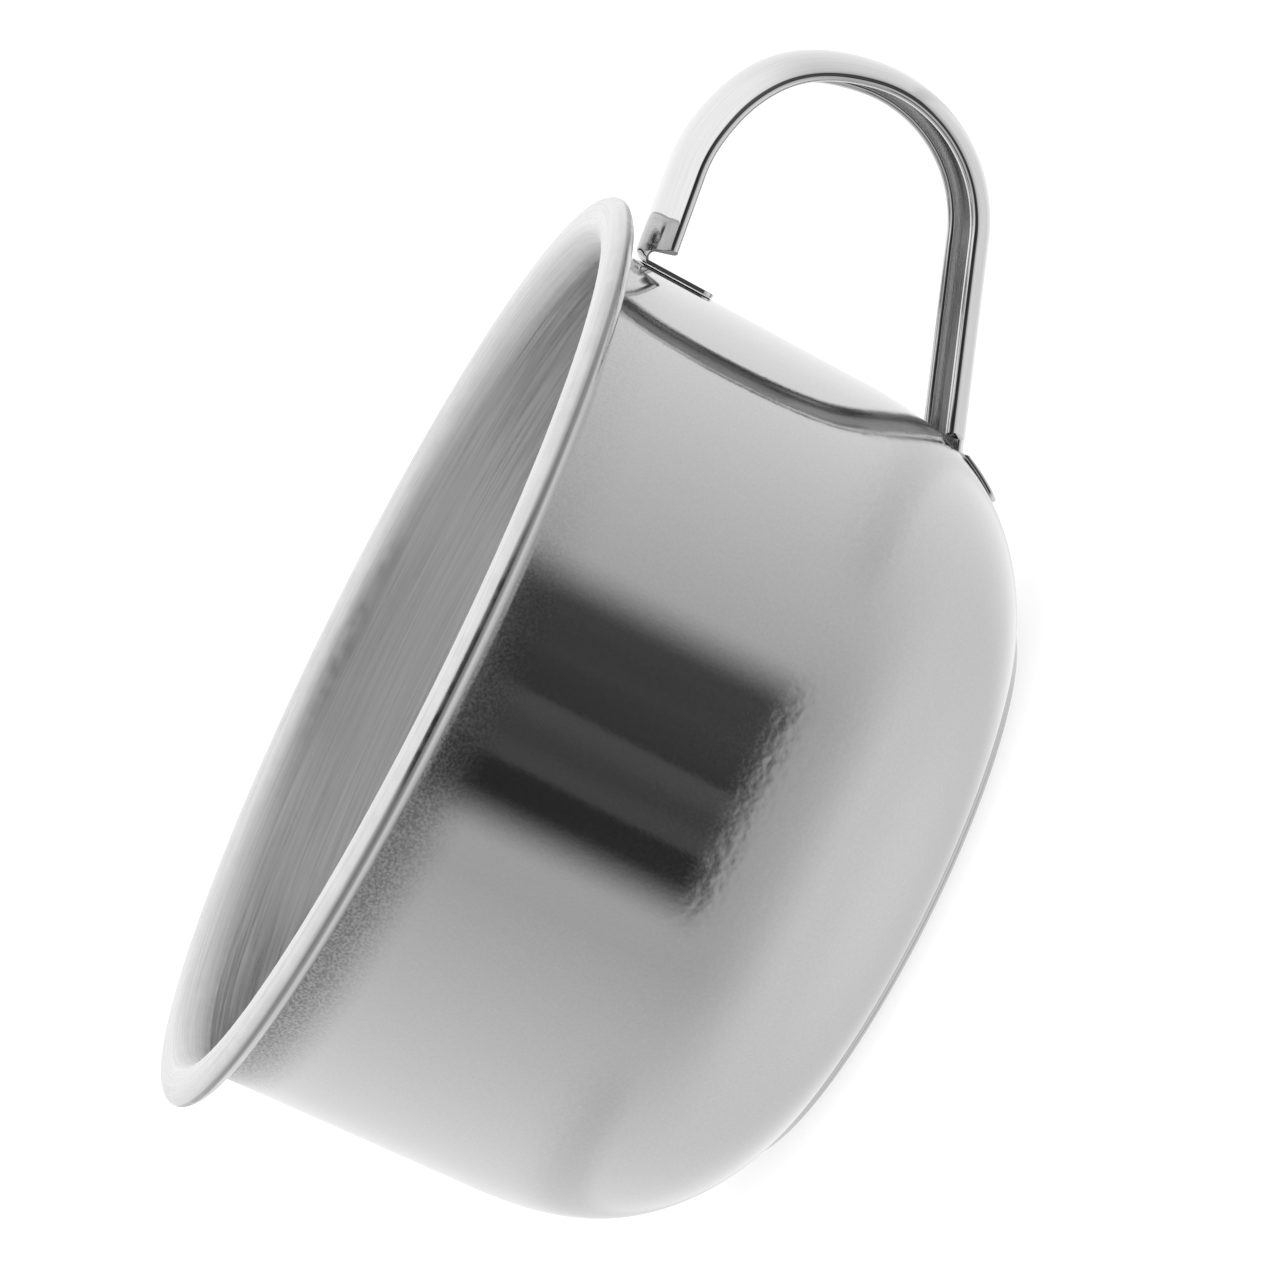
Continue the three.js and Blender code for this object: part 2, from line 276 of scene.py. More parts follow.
def bowl_profile(size):
    """The closed section of the bowl's sheet as (radius, height) points, each with its finish."""
    outside, inside, lip = 0, 1, 2
    flare_z = size.height - size.lip_flare
    lip_x = size.lip_radius - size.lip_width / 2
    lip_z = size.height - size.lip_depth / 2
    reach = lip_x - size.wall_radius
    wall = spread(flare_z, size.shoulder_height, WALL_STEPS)[:-1]
    heights = wall + shoulder_heights(size, size.foot_step, SHOULDER_STEPS)
    outer = [Vector((side_at(size, z), z)) for z in heights]
    lowest = SIDE_INSIDE_END * size.sheet
    inner = [p - side_normal(size, p.y) * size.sheet for p in outer if p.y > lowest]

    def flare(semi_x, semi_z, steps):
        """The wall's turn outwards into the lip, in which its taper dies away."""
        points = ellipse((lip_x, flare_z), semi_x, semi_z, math.pi, math.pi / 2, steps)
        for i, p in enumerate(points):
            p.x += size.wall_taper * (p.y - flare_z) * (1 - i / steps)
        return points[1:]

    curl = ellipse(
        (lip_x, lip_z), size.lip_width / 2, size.lip_depth / 2,
        CURL_START, size.lip_end, CURL_OUTSIDE_STEPS,
    )
    within = ellipse(
        (lip_x, lip_z), size.lip_width / 2 - size.sheet, size.lip_depth / 2 - size.sheet,
        size.lip_end, CURL_START, CURL_INSIDE_STEPS,
    )
    tip = (curl[-1] + within[0]) / 2
    across = (curl[-1] - within[0]) / 2
    ahead = Vector((-across.y, across.x))
    edge = [
        tip + across * math.cos(a) + ahead * math.sin(a)
        for a in spread(0, math.pi, SHEET_EDGE_STEPS)[1:-1]
    ]

    foot = size.foot_radius
    rounding = size.foot_edge
    hollow = size.foot_step - rounding
    side = [p for p in outer if p.x > foot + SIDE_OUTSIDE_END * hollow]
    under_side = ellipse(
        (foot + hollow, rounding), hollow, hollow, math.pi / 2, math.pi, FOOT_HOLLOW_STEPS
    )
    foot_edge = ellipse(
        (foot - rounding, rounding), rounding, rounding, 0.0, -math.pi / 2, FOOT_EDGE_STEPS
    )

    parts = [
        (inside, [Vector((inner[-1].x * share, size.sheet)) for share in FLOOR_RINGS]),
        (inside, inner[::-1]),
        (lip, flare(reach + size.sheet, size.lip_flare, FLARE_INSIDE_STEPS)),
        (lip, curl + edge + within),
        (outside, flare(reach, size.lip_flare - size.sheet, FLARE_OUTSIDE_STEPS)[::-1]),
        (outside, side + under_side + foot_edge[1:]),
        (outside, [Vector((foot * share, 0.0)) for share in FOOT_RINGS]),
    ]
    return [(finish, point) for finish, points in parts for point in points]


def turned(profile, segments):
    """A bmesh of a section turned round Z. The section's first and last points are on the axis."""
    mesh = bmesh.new()
    turns = [2 * math.pi * i / segments for i in range(segments)]
    rings = []
    for _, point in profile:
        if point.x == 0.0:
            rings.append([mesh.verts.new((0.0, 0.0, point.y))] * segments)
        else:
            rings.append([
                mesh.verts.new((point.x * math.cos(a), point.x * math.sin(a), point.y)) for a in turns
            ])
    for i in range(len(rings) - 1):
        finish = profile[i + 1][0]
        for j in range(segments):
            k = (j + 1) % segments
            corners = [rings[i][j], rings[i][k], rings[i + 1][k], rings[i + 1][j]]
            face = mesh.faces.new(list(dict.fromkeys(corners)))
            face.material_index = finish
    return mesh


# ---- Finger loop ------------------------------------------------------------------------------

ACROSS_STEPS = 28  # over the crown, and again under it
RIM_STEPS = 12     # from the tab's width out to the rolled edge
ROLL_STEPS = 22    # round a rolled edge
BEND_STEPS = 14
TAB_STEPS = 28
NECK_STEPS = 3     # from a bend to the cut
FADE_STEPS = 12    # from a cut to the whole section
ARC_STEPS = 120
LEG_STEPS = 12
SETTLING_ROUNDS = 30  # to find where a leg meets the side
SLIVER = 0.01 * MM    # between two stations that are almost in one place
DENT_FROM = 0.8       # a dent deepens between these shares of the crown's half width
DENT_TO = 0.98
UNDER_INSET = 1.7     # the underside ends this many edge radii in from the crown's edge
EDGE_BULGE = 0.3      # roundness of the tabs' edges, as a share of half the sheet

# Angles round the arc, up from its outermost point
BULGE_FROM = math.radians(80)
BULGE_MOST = math.radians(43)
BULGE_TO = math.radians(8)
TWIST_FROM = math.radians(60)
TWIST_TO = math.radians(-10)

# One end of the loop: its crown's height at the wall's radius, its leg's tilt, and the rest in metres
LoopEnd = namedtuple("LoopEnd", "crown_z tilt tab_length cut dent bend_radius offset")


class Station:
    """One place along the strap: a point on its crown line, its heading, and how its section lies.

    flat: 0 for the crown's full bulge, 1 for a flat sheet.
    lean: how far the section's middle is ahead of its rolled edges.
    dent: depth of the dents in the crown beside its rolled edges.
    twist: turn of the section round the crown line, in radians.
    web: half the width where the rolled edges are cut off, or None where they aren't.
    """

    def __init__(self, point, heading, flat=0.0, lean=0.0, dent=0.0, twist=0.0, web=None):
        self.point = point
        self.heading = heading
        self.flat = flat
        self.lean = lean
        self.dent = dent
        self.twist = twist
        self.web = web

    def turned_back(self):
        """The same place with the strap's heading turned the other way."""
        self.heading = -self.heading
        self.lean = -self.lean
        return self


def loop_ends(bowl, loop):
    """The upper and the lower end of the loop."""
    upper = LoopEnd(
        bowl.height - loop.upper_drop, loop.upper_tilt, loop.upper_tab, loop.upper_cut,
        loop.dent, loop.upper_bend, loop.weld_gap,
    )
    lower = LoopEnd(
        loop.lower_height, loop.lower_tilt, loop.lower_tab, loop.lower_cut,
        0.0, loop.lower_bend, loop.weld_gap + loop.sheet,
    )
    return upper, lower


def direction(tilt):
    """Outwards, rising by a tilt."""
    return Vector((math.cos(tilt), math.sin(tilt)))


def tab_line(bowl, top, distance, offset):
    """Points and headings down the bowl's side from a height, at an offset outwards from it."""
    line = []
    height = top
    for _ in range(TAB_STEPS + 1):
        normal = side_normal(bowl, height)
        point = Vector((side_at(bowl, height), height)) + normal * offset
        line.append((point, Vector((normal.y, -normal.x))))
        height -= distance / TAB_STEPS * normal.x
    return line


def bend(corner, before, after, radius):
    """Points and headings round a corner, and the length that the bend takes off each side."""
    turn = before.angle_signed(after)
    side = 1 if turn < 0 else -1
    taken = radius * math.tan(abs(turn) / 2)
    start = corner - before * taken
    centre = start + Vector((-before.y, before.x)) * side * radius
    points = []
    for a in spread(0.0, -turn, BEND_STEPS):
        spin = Matrix.Rotation(a, 2)
        points.append((centre + spin @ (start - centre), spin @ before))
    return points, taken


def loop_arc(bowl, loop):
    """Centre and radius of the loop's round end, which is tangent to both legs."""
    upper, lower = loop_ends(bowl, loop)
    slopes = math.tan(upper.tilt), math.tan(lower.tilt)
    secants = 1 / math.cos(upper.tilt) + 1 / math.cos(lower.tilt)
    run = loop.reach - bowl.wall_radius
    narrowing = slopes[0] - slopes[1]
    radius = (upper.crown_z - lower.crown_z + run * narrowing) / (secants + narrowing)
    centre_x = loop.reach - radius
    rise = (centre_x - bowl.wall_radius) * slopes[0]
    return Vector((centre_x, upper.crown_z + rise - radius / math.cos(upper.tilt))), radius


def leg_meets(bowl, end):
    """Where a leg's crown line meets the bowl's side moved outwards by the end's offset."""
    height = end.crown_z
    for _ in range(SETTLING_ROUNDS):
        radius = side_at(bowl, height) + side_normal(bowl, height).x * end.offset
        height = end.crown_z + (radius - bowl.wall_radius) * math.tan(end.tilt)
    return Vector((radius, height))


def tab_half_width(loop, from_tip):
    """Half the tab's width at a distance from its rounded tip."""
    half = loop.tab_width / 2
    short = max(loop.tab_corner - from_tip, 0.0)
    return half - loop.tab_corner + math.sqrt(loop.tab_corner ** 2 - short ** 2)


def end_stations(bowl, loop, end):
    """Stations from the tip of a tab, up the bowl and over its bend, to the leg's whole section."""
    outwards = direction(end.tilt)
    corner = leg_meets(bowl, end)
    normal = side_normal(bowl, corner.y)
    up_the_side = Vector((-normal.y, normal.x))
    curve, taken = bend(corner, up_the_side, outwards, end.bend_radius)
    half = loop.tab_width / 2
    stations = []

    tab_length = end.tab_length - taken
    tab = tab_line(bowl, curve[0][0].y - normal.y * end.offset, tab_length, end.offset)
    for i in range(TAB_STEPS, 0, -1):
        point, down = tab[i]
        width = tab_half_width(loop, (1 - i / TAB_STEPS) * tab_length)
        stations.append(Station(point, -down, flat=1.0, web=width))
    for i, (point, heading) in enumerate(curve):
        stations.append(Station(point, heading, flat=1 - smooth(i, 0, BEND_STEPS), web=half))

    cut = max(end.cut, taken + loop.cut_slant + SLIVER)
    for distance in spread(taken, cut - loop.cut_slant, NECK_STEPS)[1:]:
        stations.append(Station(corner + outwards * distance, outwards, web=half))
    for t in spread(0.0, 1.0, FADE_STEPS):
        point = corner + outwards * (cut + SLIVER + loop.dent_length * t)
        lean = -loop.cut_slant * (1 - t)
        stations.append(Station(point, outwards, lean=lean, dent=end.dent * (1 - t)))
    return stations


def strap_stations(bowl, loop):
    """Every station from the tip of the upper tab, round the loop, to the tip of the lower tab."""
    upper_end, lower_end = loop_ends(bowl, loop)
    upper = end_stations(bowl, loop, upper_end)
    lower = [station.turned_back() for station in end_stations(bowl, loop, lower_end)[::-1]]
    centre, radius = loop_arc(bowl, loop)
    arc = []
    for a in spread(math.pi / 2 + loop.upper_tilt, -math.pi / 2 + loop.lower_tilt, ARC_STEPS):
        above = smooth(a, BULGE_TO, BULGE_MOST) * smooth(-a, -BULGE_FROM, -BULGE_MOST)
        point = centre + direction(a) * (radius + loop.bulge * above)
        heading = Vector((math.sin(a), -math.cos(a)))
        past = smooth(-a, -TWIST_FROM, -TWIST_TO)
        arc.append(Station(point, heading, flat=loop.shallower * past, twist=loop.twist * past))

    def leg(start, end):
        """Stations on the straight between two others."""
        return [
            Station(start.point.lerp(end.point, t), start.heading)
            for t in spread(0.0, 1.0, LEG_STEPS)[1:-1]
        ]

    lower_leg = leg(arc[-1], lower[0]) + lower
    for station in lower_leg:
        if station.web is None:
            station.flat = loop.shallower
            station.twist = loop.twist
        else:
            station.twist = loop.twist * (1 - station.flat)
    return upper + leg(upper[-1], arc[0]) + arc + lower_leg


def strap_section(loop, station):
    """The sheet's closed outline at a station: across the strap, and in from its crown line."""
    half = loop.width / 2
    crown_radius = (half ** 2 + loop.crown ** 2) / (2 * loop.crown)
    crown_angle = math.asin(half / crown_radius)
    web = loop.tab_width / 2 if station.web is None else station.web

    def crown(across):
        bulge = (crown_radius - math.sqrt(crown_radius ** 2 - across ** 2)) * (1 - station.flat)
        dent = station.dent * smooth(abs(across) / half, DENT_FROM, DENT_TO)
        return Vector((across, bulge + dent))

    outline = [crown(across) for across in spread(-web, web, ACROSS_STEPS)]
    beneath = half - UNDER_INSET * loop.edge_radius if station.web is None else web
    under = [
        crown(across) + Vector((0, loop.sheet))
        for across in spread(beneath, -beneath, ACROSS_STEPS)
    ]
    if station.web is None:
        rim = [crown(across) for across in spread(web, half, RIM_STEPS)[1:]]
        centre_radius = crown_radius - loop.edge_radius
        centre = (
            centre_radius * math.sin(crown_angle),
            crown_radius - centre_radius * math.cos(crown_angle) - loop.crown * station.flat,
        )
        first = crown_angle - math.pi / 2
        roll = ellipse(
            centre, loop.edge_radius, loop.edge_radius, first, first + loop.edge_roll, ROLL_STEPS
        )
        edge = rim + roll[1:]
    else:
        middle = (outline[-1] + under[0]) / 2
        thick = loop.sheet / 2
        steps = RIM_STEPS + ROLL_STEPS + 1
        bulge = EDGE_BULGE * thick
        edge = ellipse(middle, bulge, thick, -math.pi / 2, math.pi / 2, steps)[1:-1]
    mirrored = [Vector((-p.x, p.y)) for p in reversed(edge)]
    return outline + edge + under + mirrored


def strap_mesh(bowl, loop):
    """A bmesh of the whole strap, closed at both tips. Faces under the crown get material 1."""
    mesh = bmesh.new()
    web = loop.tab_width / 2
    half = loop.width / 2
    rings = []
    for station in strap_stations(bowl, loop):
        inwards = Vector((station.heading.y, -station.heading.x))
        turn = Matrix.Rotation(station.twist, 2)
        ring = []
        for p in strap_section(loop, station):
            ahead = station.lean * (1 - min(max((abs(p.x) - web) / (half - web), 0.0), 1.0))
            across, in_from_crown = turn @ p
            place = station.point + inwards * in_from_crown + station.heading * ahead
            ring.append(mesh.verts.new((place.x, across, place.y)))
        rings.append(ring)
    first_under = ACROSS_STEPS + 1 + RIM_STEPS + ROLL_STEPS
    for before, after in zip(rings, rings[1:]):
        for i in range(len(before)):
            k = (i + 1) % len(before)
            face = mesh.faces.new((before[i], before[k], after[k], after[i]))
            face.material_index = int(first_under <= i < first_under + ACROSS_STEPS)
    mesh.faces.new(rings[0])
    mesh.faces.new(rings[-1][::-1])
    return mesh


# ---- Steel ------------------------------------------------------------------------------------

# Lumps of noise to the metre
GRAIN = 3600
LUMPS = 900
WEAR = 500
WAVES = 260

# Streaks of noise to the metre, along the brushing and across it
FINE_BRUSHING = (70, 4200)
BROAD_BRUSHING = (35, 700)
TURNING_MARKS = (60, 5000)
LOOP_SCRATCHES = (120, 5200)
UNDER_SCRATCHES = (150, 5200)

# Heights in thousandths of a millimetre
GRAIN_HEIGHT = 1.5
LUMP_HEIGHT = 2.0
BRUSHING_HEIGHT = 6.0
MARK_HEIGHT = 1.5
WAVE_HEIGHT = 12.0
LOOP_SCRATCH_HEIGHT = 0.8
UNDER_SCRATCH_HEIGHT = 3.0

NOISE_RANGE = (0.3, 0.7)  # between which nearly all of a noise lies

# The band of painted shade under the lip and the orange-peeled belt on the bowl's outside
UNDER_LIP_SHADE_SIDES = (28 * MM, -6 * MM)  # the painted shade grows from the loop's side to the far side
UNDER_LIP_SHADE_SHARES = (0.12, 1.0)
UNDER_LIP_SHADE_DARKENING = (0.62, 0.3)
UNDER_LIP_BLUR = 0.15
PEEL_LOW_FADE = 5 * MM
PEEL_HIGH_FADE = 4 * MM
PEEL_BLUR = 0.07

# Edges of the dark line along the lip, a painted reflection, from the lip's middle height and from its
# outermost point
REFLECTION_LINE_BELOW = (-0.55 * MM, -0.25 * MM)
REFLECTION_LINE_ABOVE = (0.3 * MM, -0.05 * MM)
REFLECTION_LINE_ACROSS = (-1.2 * MM, -0.6 * MM)
REFLECTION_LINE_SHADE = 0.5

# Edges of the duller inner side of the lip, from the lip's inner edge
DULL_ACROSS = (1.8 * MM, 0.2 * MM)
DULL_BLUR = 0.3


def connect(tree, socket, value):
    """Feeds a socket with a number, a vector or another node's output."""
    if isinstance(value, bpy.types.NodeSocket):
        tree.links.new(value, socket)
    else:
        socket.default_value = value


def new_node(tree, kind, settings=None, **inputs):
    """A node with its own options and its inputs. An underscore stands for a space in a name."""
    node = tree.nodes.new(kind)
    for name, value in (settings or {}).items():
        setattr(node, name, value)
    for name, value in inputs.items():
        connect(tree, node.inputs[name.replace("_", " ")], value)
    return node


def calculated(tree, operation, *values):
    """The output of a maths node."""
    node = new_node(tree, "ShaderNodeMath", {"operation": operation})
    for socket, value in zip(node.inputs, values):
        connect(tree, socket, value)
    return node.outputs[0]


def product(tree, first, *others):
    """Values multiplied together."""
    for value in others:
        first = calculated(tree, "MULTIPLY", first, value)
    return first


def ranged(tree, value, low, high, to_low=0.0, to_high=1.0, kind="SMOOTHSTEP"):
    """Carries a value smoothly, or "LINEAR", from one range to another, held at both ends."""
    node = new_node(
        tree, "ShaderNodeMapRange", {"interpolation_type": kind},
        Value=value, From_Min=low, From_Max=high, To_Min=to_low, To_Max=to_high,
    )
    return node.outputs[0]


def blended(tree, share, first, second):
    """The first value where the share is 0 and the second where it is 1."""
    node = new_node(tree, "ShaderNodeMix", {"data_type": "FLOAT"})
    for socket, value in zip((node.inputs[0], node.inputs[2], node.inputs[3]), (share, first, second)):
        connect(tree, socket, value)
    return node.outputs[0]


def noise(tree, place, scale, detail):
    """Noise from 0 to 1 with about as many lumps to the metre as its scale."""
    return new_node(tree, "ShaderNodeTexNoise", Vector=place, Scale=scale, Detail=detail).outputs[0]


def varied(tree, lumps, least, most):
    """Carries a noise to the range from least to most."""
    return ranged(tree, lumps, *NOISE_RANGE, least, most)


def stretched(tree, place, scales):
    """A place scaled by a different factor along each axis."""
    node = new_node(tree, "ShaderNodeVectorMath", {"operation": "MULTIPLY"})
    connect(tree, node.inputs[0], place)
    connect(tree, node.inputs[1], scales)
    return node.outputs[0]


class Steel:
    """A steel material under construction."""

    def __init__(self, name, colour_value, roughness):
        self.material = bpy.data.materials.new(name)
        self.material.use_nodes = True
        self.tree = self.material.node_tree
        self.shader = self.tree.nodes["Principled BSDF"]
        self.colour = tuple(colour_value)
        self.roughness = roughness
        self.place = self.tree.nodes.new("ShaderNodeTexCoord").outputs["Object"]
        self.split = new_node(self.tree, "ShaderNodeSeparateXYZ", Vector=self.place)
        x, y, _ = self.split.outputs
        squares = calculated(self.tree, "ADD", product(self.tree, x, x), product(self.tree, y, y))
        self.radius = calculated(self.tree, "SQRT", squares)

    def brushing(self, along, across):
        """Noise drawn out round the bowl's axis: lumps to the metre along and across the brushing."""
        x, y, z = self.split.outputs
        rise = calculated(self.tree, "ADD", z, self.radius)
        place = new_node(self.tree, "ShaderNodeCombineXYZ", X=x, Y=y, Z=rise).outputs[0]
        streaks = stretched(self.tree, place, (along, along, across))
        return noise(self.tree, streaks, 1.0, detail=5.0)

    def finish(self, shade, roughness, height):
        """Links the darkening, the blur and the height in thousandths of a millimetre."""
        tinted = new_node(self.tree, "ShaderNodeVectorMath", {"operation": "SCALE"}, Scale=shade)
        tinted.inputs[0].default_value = self.colour
        bump = new_node(self.tree, "ShaderNodeBump", Distance=MICRON, Height=height)
        self.shader.inputs["Metallic"].default_value = 1.0
        connect(self.tree, self.shader.inputs["Base Color"], tinted.outputs[0])
        connect(self.tree, self.shader.inputs["Roughness"], roughness)
        connect(self.tree, self.shader.inputs["Normal"], bump.outputs[0])
        return self.material


def outside_steel(bowl, finish):
    """Drawn steel: near a mirror, orange-peeled above the shoulder, and darkened under the lip with
    painted shade broken up by its grain.
    """
    steel = Steel("drawn_steel", finish.outside_colour, finish.outside_roughness)
    tree = steel.tree
    x, _, z = steel.split.outputs
    grain = noise(tree, steel.place, GRAIN, detail=3.0)
    lumps = noise(tree, steel.place, LUMPS, detail=1.0)
    top = bowl.height - bowl.lip_flare
    # Painted shade under the lip's overhang, deepest on the side away from the loop and broken up by the
    # grain.
    under_lip_shade = product(
        tree, ranged(tree, z, top - finish.under_lip_shade_depth, top),
        ranged(tree, x, *UNDER_LIP_SHADE_SIDES, *UNDER_LIP_SHADE_SHARES),
    )
    belt = product(
        tree, ranged(tree, z, finish.peel_low, finish.peel_low + PEEL_LOW_FADE),
        ranged(tree, z, finish.peel_high, finish.peel_high - PEEL_HIGH_FADE),
    )
    painted_shade = product(tree, under_lip_shade, varied(tree, grain, *UNDER_LIP_SHADE_DARKENING))
    shade = calculated(tree, "SUBTRACT", ranged(tree, grain, 0.25, 0.75, 0.95, 1.0), painted_shade)
    blur = varied(tree, grain, 0.8 * steel.roughness, 1.2 * steel.roughness)
    blur = calculated(tree, "MULTIPLY_ADD", under_lip_shade, UNDER_LIP_BLUR, blur)
    blur = calculated(tree, "MULTIPLY_ADD", belt, PEEL_BLUR, blur)
    peel_height = calculated(tree, "MULTIPLY_ADD", belt, finish.peel, LUMP_HEIGHT)
    peel = product(tree, lumps, peel_height)
    height = calculated(tree, "ADD", peel, product(tree, grain, GRAIN_HEIGHT))
    return steel.finish(shade, blur, height)


def inside_steel(finish):
    """Steel brushed round the axis, with broad and fine streaks."""
    steel = Steel("brushed_steel", finish.inside_colour, finish.inside_roughness)
    tree = steel.tree
    fine = steel.brushing(*FINE_BRUSHING)
    broad = steel.brushing(*BROAD_BRUSHING)
    shade = product(tree, varied(tree, fine, 0.82, 1.0), varied(tree, broad, 0.92, 1.0))
    blur = varied(tree, fine, 0.8 * steel.roughness, 1.25 * steel.roughness)
    return steel.finish(shade, blur, product(tree, fine, BRUSHING_HEIGHT))


def lip_steel(bowl, finish):
    """Steel with fine turning marks that follow the lip, a light wear, and a painted reflection: a dark
    line outside.
    """
    steel = Steel("lip_steel", finish.lip_colour, finish.lip_roughness)
    tree = steel.tree
    marks = steel.brushing(*TURNING_MARKS)
    wear = noise(tree, steel.place, WEAR, detail=4.0)
    z = steel.split.outputs[2]
    above_middle = calculated(tree, "SUBTRACT", z, bowl.height - bowl.lip_depth / 2)
    beyond_lip = calculated(tree, "SUBTRACT", steel.radius, bowl.lip_radius)
    # A painted reflection: a dark line round the outer side of the lip.
    line = product(
        tree, ranged(tree, above_middle, *REFLECTION_LINE_BELOW), ranged(tree, above_middle, *REFLECTION_LINE_ABOVE),
        ranged(tree, beyond_lip, *REFLECTION_LINE_ACROSS),
    )
    shade = product(
        tree, varied(tree, marks, 0.88, 1.0), ranged(tree, wear, 0.35, 0.7, 0.93, 1.0),
        ranged(tree, line, 0.0, 1.0, 1.0, REFLECTION_LINE_SHADE, "LINEAR"),
    )
    blur = varied(tree, wear, 0.7 * steel.roughness, 1.4 * steel.roughness)
    from_inner_edge = calculated(tree, "ADD", beyond_lip, bowl.lip_width)
    duller = ranged(tree, from_inner_edge, *DULL_ACROSS, 0.0, DULL_BLUR)
    blur = calculated(tree, "ADD", blur, duller)
    return steel.finish(shade, blur, product(tree, marks, MARK_HEIGHT))


def strap_steel(name, colour_value, roughness, streaks, depth):
    """Polished steel with hairline scratches along the strap and a slight waviness."""
    steel = Steel(name, colour_value, roughness)
    tree = steel.tree
    along, across = streaks
    scratches = noise(tree, stretched(tree, steel.place, (along, across, along)), 1.0, detail=4.0)
    waves = noise(tree, steel.place, WAVES, detail=1.0)
    shade = varied(tree, scratches, 0.94, 1.0)
    blur = varied(tree, scratches, 0.7 * roughness, 1.4 * roughness)
    scratch_height = product(tree, scratches, depth)
    height = calculated(tree, "MULTIPLY_ADD", waves, WAVE_HEIGHT, scratch_height)
    return steel.finish(shade, blur, height)


def loop_steel(finish):
    """The loop's polished crown and rolled edges."""
    return strap_steel(
        "polished_steel", finish.loop_colour, finish.loop_roughness,
        LOOP_SCRATCHES, LOOP_SCRATCH_HEIGHT,
    )


def under_steel_painted_shade(finish):
    """The loop's duller underside, its colour darkened with painted shade."""
    return strap_steel(
        "under_steel_painted_shade", finish.under_painted_shade_colour, finish.under_roughness,
        UNDER_SCRATCHES, UNDER_SCRATCH_HEIGHT,
    )


# ---- Stage ------------------------------------------------------------------------------------

FLOOR_SEGMENTS = 96

# What the steel reflects. A pair of angles is where a change begins and ends, in degrees: turns are
# round from the front towards the loop, and rises are above the level. Levels are shares of white.
TENT_TURNS = (38, 150)
TENT_LEVELS = (0.43, 0.88)
BACK_TURNS = (140, 185)  # the tent's back wall, behind the mug, is a little lighter
BACK_EXTRA = 0.14
ROOF_RISES = (20, 60)
ROOF_LEVEL = 0.92
TABLE_EDGE_RISES = (-17, -50)
TABLE_RISES = (-50, -88)
TABLE_LEVELS = (0.68, 0.74)
HORIZON_LOW = (-22, -18)  # the darker line where the table meets the tent
HORIZON_HIGH = (-12, -16)
HORIZON_TURNS = (60, 90)
HORIZON_LEVEL = 0.85

# The doorway on the camera's side, with the loop on its right
DOOR_LEFT = (-30, -16)
DOOR_RIGHT = (47, 32)
DOOR_SILL = (-16.5, -15)
DOOR_TOP = (56, 38)
DOOR_TURNS = (0, 34)
DOOR_LEVELS = (0.025, 0.065)
STRIP_LEAN = -0.5  # added to the turn for each degree of rise, for the lighter strip in the doorway
STRIP_LEFT = (-3.5, -2)
STRIP_RIGHT = (16, 14.5)
STRIP_LEVEL = 0.035
CLOUD_SCALE = 7.0
CLOUD_LEVELS = (0.88, 1.12)


def doorway(tree, direction_seen, turn, rise):
    """How much of a direction the doorway covers, and how dark it is there."""
    across = product(tree, ranged(tree, turn, *DOOR_LEFT), ranged(tree, turn, *DOOR_RIGHT))
    height = product(tree, ranged(tree, rise, *DOOR_SILL), ranged(tree, rise, *DOOR_TOP))
    leaning = calculated(tree, "MULTIPLY_ADD", rise, STRIP_LEAN, turn)
    strip = product(tree, ranged(tree, leaning, *STRIP_LEFT), ranged(tree, leaning, *STRIP_RIGHT))
    dark = ranged(tree, turn, *DOOR_TURNS, *DOOR_LEVELS, "LINEAR")
    dark = calculated(tree, "MULTIPLY_ADD", strip, STRIP_LEVEL, dark)
    clouds = noise(tree, direction_seen, CLOUD_SCALE, detail=3.0)
    return product(tree, across, height), product(tree, dark, varied(tree, clouds, *CLOUD_LEVELS))


def studio_light():
    """White light, that reflections see as a tent with a dark doorway, above a pale table."""
    world = bpy.data.worlds.new("studio")
    bpy.context.scene.world = world
    world.use_nodes = True
    tree = world.node_tree
    tree.nodes.clear()
    direction_seen = tree.nodes.new("ShaderNodeTexCoord").outputs["Generated"]
    x, y, z = new_node(tree, "ShaderNodeSeparateXYZ", Vector=direction_seen).outputs
    turn = calculated(tree, "ARCTAN2", x, product(tree, y, -1.0))
    turn = calculated(tree, "DEGREES", turn)
    rise = calculated(tree, "DEGREES", calculated(tree, "ARCSINE", z))
    away = calculated(tree, "ABSOLUTE", turn)

    tent = ranged(tree, away, *TENT_TURNS, *TENT_LEVELS, "LINEAR")
    tent = calculated(tree, "ADD", tent, ranged(tree, away, *BACK_TURNS, 0.0, BACK_EXTRA))
    seen = blended(tree, ranged(tree, rise, *ROOF_RISES), tent, ROOF_LEVEL)
    table = ranged(tree, rise, *TABLE_RISES, *TABLE_LEVELS)
    seen = blended(tree, ranged(tree, rise, *TABLE_EDGE_RISES), seen, table)
    horizon = product(
        tree, ranged(tree, rise, *HORIZON_LOW), ranged(tree, rise, *HORIZON_HIGH),
        ranged(tree, away, *HORIZON_TURNS),
    )
    seen = product(tree, seen, ranged(tree, horizon, 0.0, 1.0, 1.0, HORIZON_LEVEL, "LINEAR"))
    covered, dark = doorway(tree, direction_seen, turn, rise)
    seen = blended(tree, covered, seen, dark)

    path = tree.nodes.new("ShaderNodeLightPath")
    strength = blended(tree, path.outputs["Is Glossy Ray"], 1.0, seen)
    background = new_node(
        tree, "ShaderNodeBackground", Color=(1.0, 1.0, 1.0, 1.0), Strength=strength
    )
    output = tree.nodes.new("ShaderNodeOutputWorld")
    connect(tree, output.inputs["Surface"], background.outputs[0])


